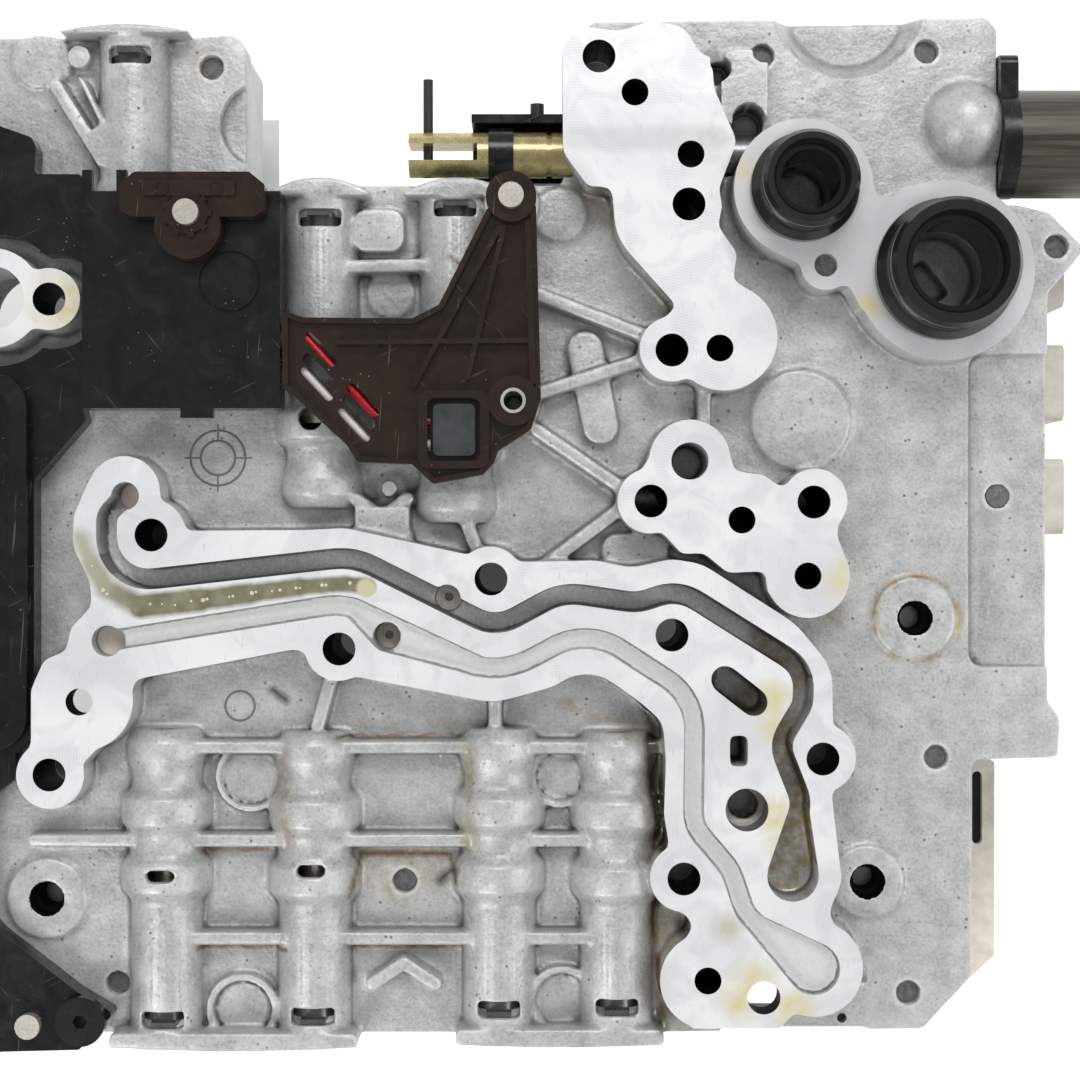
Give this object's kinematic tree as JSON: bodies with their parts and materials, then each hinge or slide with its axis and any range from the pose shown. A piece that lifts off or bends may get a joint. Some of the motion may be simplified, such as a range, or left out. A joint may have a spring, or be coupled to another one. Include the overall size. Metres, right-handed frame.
{
  "type": "transmission mechatronic unit",
  "caption": "Electro-hydraulic transmission control unit: cast channel plate with milled lands and open channels, valve bores, bridge seals, park piston and control module.",
  "frame": {"origin": "middle of the unit's box, on its underside", "axes": "+Z out of the sealing face, +Y towards the park piston's edge, +X towards the park solenoid"},
  "size_m": [0.31, 0.2132, 0.073],
  "materials": {
    "cast_aluminium": "as cast with milled lands",
    "sheet_steel": "plain sheet",
    "black_plastic": "moulded, oily",
    "brown_plastic": "moulded, oily",
    "chip_grey": "moulded",
    "bright_steel": "turned",
    "black_steel": "blackened",
    "spring_steel": "drawn wire",
    "brass_chromate": "satin",
    "seal_rubber": "satin",
    "beige_plastic": "moulded",
    "heat_plate": "rolled",
    "red_lead": "lead sleeve",
    "white_lead": "lead sleeve"
  },
  "bodies": {
    "root": {"beige_plate": "beige_plastic", "bore_plugs": "bright_steel", "channel_plate": "cast_aluminium", "connector_pins": "bright_steel", "connector_ring": "seal_rubber", "connector_sleeve": "black_plastic", "control_module_housing": "black_plastic", "large_bridge_seal": "seal_rubber", "large_seal_sleeve": "black_plastic", "locating_pins": "bright_steel", "module_cover": "black_plastic", "module_heat_plate": "heat_plate", "module_screws": "black_steel", "orifice_inserts": "bright_steel", "park_carrier": "black_plastic", "park_latch_pin": "black_steel", "park_solenoid_can": "black_steel", "park_solenoid_ring": "black_plastic", "park_spring": "spring_steel", "plate_screws": "black_steel", "plug_clips": "bright_steel", "pressure_regulators": "bright_steel", "regulator_clamps": "sheet_steel", "regulator_heads": "beige_plastic", "second_sensor": "brown_plastic", "sensor_bush": "bright_steel", "sensor_chip": "chip_grey", "sensor_lead_red": "red_lead", "sensor_lead_white": "white_lead", "separator_plate": "sheet_steel", "small_bridge_seal": "seal_rubber", "small_seal_sleeve": "black_plastic", "speed_sensor_arm": "brown_plastic", "valve_plate": "cast_aluminium", "valve_spring_a": "spring_steel", "valve_spring_b": "spring_steel", "valve_spring_c": "spring_steel", "valve_spring_d": "spring_steel", "valve_spring_e": "spring_steel", "valve_spring_f": "spring_steel", "valve_spring_g": "spring_steel"},
    "park_rod": {"park_piston": "brass_chromate", "park_cross_pin": "black_steel", "park_band": "black_plastic"},
    "park_plunger": {"park_plunger": "bright_steel"},
    "spool_a": {"valve_spool_a": "bright_steel"},
    "spool_b": {"valve_spool_b": "bright_steel"},
    "spool_c": {"valve_spool_c": "bright_steel"},
    "spool_d": {"valve_spool_d": "bright_steel"},
    "spool_e": {"valve_spool_e": "bright_steel"},
    "spool_f": {"valve_spool_f": "bright_steel"},
    "spool_g": {"valve_spool_g": "bright_steel"}
  },
  "joints": [
    {"name": "spool_a_slide", "type": "slide", "parent": "root", "child": "spool_a", "axis": [0, 1, 0], "range_m": [0, 0.005], "stiffness_N_per_m": 1500, "springref_m": -0.006, "deforming": ["valve_spring_a"]},
    {"name": "spool_b_slide", "type": "slide", "parent": "root", "child": "spool_b", "axis": [0, 1, 0], "range_m": [0, 0.005], "stiffness_N_per_m": 1500, "springref_m": -0.006, "deforming": ["valve_spring_b"]},
    {"name": "spool_c_slide", "type": "slide", "parent": "root", "child": "spool_c", "axis": [0, 1, 0], "range_m": [0, 0.005], "stiffness_N_per_m": 1500, "springref_m": -0.006, "deforming": ["valve_spring_c"]},
    {"name": "spool_d_slide", "type": "slide", "parent": "root", "child": "spool_d", "axis": [0, 1, 0], "range_m": [0, 0.005], "stiffness_N_per_m": 1500, "springref_m": -0.006, "deforming": ["valve_spring_d"]},
    {"name": "spool_e_slide", "type": "slide", "parent": "root", "child": "spool_e", "axis": [0, -1, 0], "range_m": [0, 0.005], "stiffness_N_per_m": 1500, "springref_m": -0.006, "deforming": ["valve_spring_e"]},
    {"name": "spool_f_slide", "type": "slide", "parent": "root", "child": "spool_f", "axis": [0, -1, 0], "range_m": [0, 0.005], "stiffness_N_per_m": 1500, "springref_m": -0.006, "deforming": ["valve_spring_f"]},
    {"name": "spool_g_slide", "type": "slide", "parent": "root", "child": "spool_g", "axis": [0, -1, 0], "range_m": [0, 0.005], "stiffness_N_per_m": 1500, "springref_m": -0.006, "deforming": ["valve_spring_g"]},
    {"name": "park_rod_slide", "type": "slide", "parent": "root", "child": "park_rod", "axis": [-1, 0, 0], "range_m": [0, 0.009], "stiffness_N_per_m": 900, "springref_m": -0.004, "deforming": ["park_spring"]},
    {"name": "park_plunger_slide", "type": "slide", "parent": "root", "child": "park_plunger", "axis": [1, 0, 0], "range_m": [0, 0.003], "stiffness_N_per_m": 700, "springref_m": -0.003}
  ]
}
